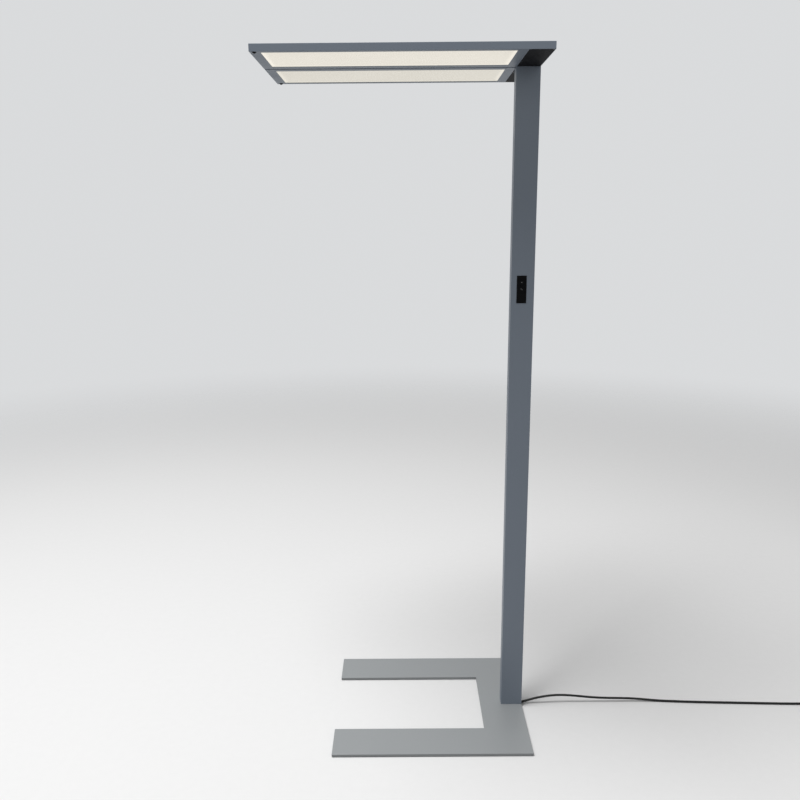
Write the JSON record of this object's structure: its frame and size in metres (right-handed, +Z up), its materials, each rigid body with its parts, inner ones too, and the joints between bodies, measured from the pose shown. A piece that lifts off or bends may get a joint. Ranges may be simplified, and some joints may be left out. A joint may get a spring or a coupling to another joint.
{
  "type": "office floor lamp",
  "caption": "Free-standing office floor lamp: U-shaped steel base, flat rectangular post with a push-key panel, and a thin cantilevered light head that shines down and up.",
  "frame": {"origin": "On the floor under the middle of the lamp without its cord: halfway between the head's two ends, on the centre line of the post's depth, z = 0 at the bottom of the glides", "axes": "+Z up; -Y towards the user, who faces the control panel; the head and the base's arms reach towards -X from the post at +X"},
  "size_m": [1.7873, 0.51, 1.95],
  "materials": {
    "steel_paint": "satin",
    "silver_paint": "satin",
    "glide_rubber": "matte",
    "machined_aluminium": "satin",
    "screw_steel": "satin",
    "black_plastic": "matte",
    "black_gloss": "gloss",
    "circuit_board": "satin",
    "light_source": "gloss",
    "switch_plastic": "satin",
    "cable_sheath": "satin",
    "lit_diffuser": "satin",
    "light_guide": "gloss",
    "reflector_film": "satin",
    "driver_case": "matte",
    "pin_brass": "polished"
  },
  "bodies": {
    "lamp": {"base_plate": "steel_paint", "base_glides": "glide_rubber", "foot_block": "machined_aluminium", "base_screws": "screw_steel", "cord_clamp": "black_plastic", "post": "silver_paint", "foot_set_screws": "screw_steel", "neck_block": "machined_aluminium", "neck_set_screws": "screw_steel", "panel_housing": "black_gloss", "control_board": "circuit_board", "key_switches": "switch_plastic", "panel_clip": "black_plastic", "inner_mains_cable": "cable_sheath", "control_cable": "cable_sheath", "head_frame": "silver_paint", "centre_bar": "silver_paint", "bar_screws": "screw_steel", "neck_bracket": "machined_aluminium", "head_screws": "screw_steel", "near_diffuser": "lit_diffuser", "far_diffuser": "lit_diffuser", "near_light_guide": "light_guide", "far_light_guide": "light_guide", "near_reflector": "reflector_film", "far_reflector": "reflector_film", "near_led_strip": "light_source", "far_led_strip": "light_source", "heat_spreader": "machined_aluminium", "uplight_boards": "light_source", "uplight_covers": "light_guide", "top_plate": "silver_paint", "top_plate_screws": "screw_steel", "led_driver": "driver_case", "driver_screws": "screw_steel", "terminal_block": "switch_plastic", "driver_cover": "black_plastic", "cover_screws": "screw_steel", "near_sensor": "black_gloss", "far_sensor": "black_gloss", "sensor_boards": "circuit_board", "cord_boot": "cable_sheath", "cord_run": "cable_sheath", "cord_coil": "cable_sheath", "cord_tail": "cable_sheath", "plug_body": "cable_sheath", "plug_pins": "pin_brass", "coil_tie": "black_plastic"},
    "upper_key": {"upper_key": "black_gloss"},
    "lower_key": {"lower_key": "black_gloss"}
  },
  "joints": [
    {"name": "upper_key_press", "type": "slide", "parent": "lamp", "child": "upper_key", "axis": [0, 1, 0], "range_m": [0, 0.0008], "stiffness_N_per_m": 1500, "springref_m": -0.0004},
    {"name": "lower_key_press", "type": "slide", "parent": "lamp", "child": "lower_key", "axis": [0, 1, 0], "range_m": [0, 0.0008], "stiffness_N_per_m": 1500, "springref_m": -0.0004}
  ]
}
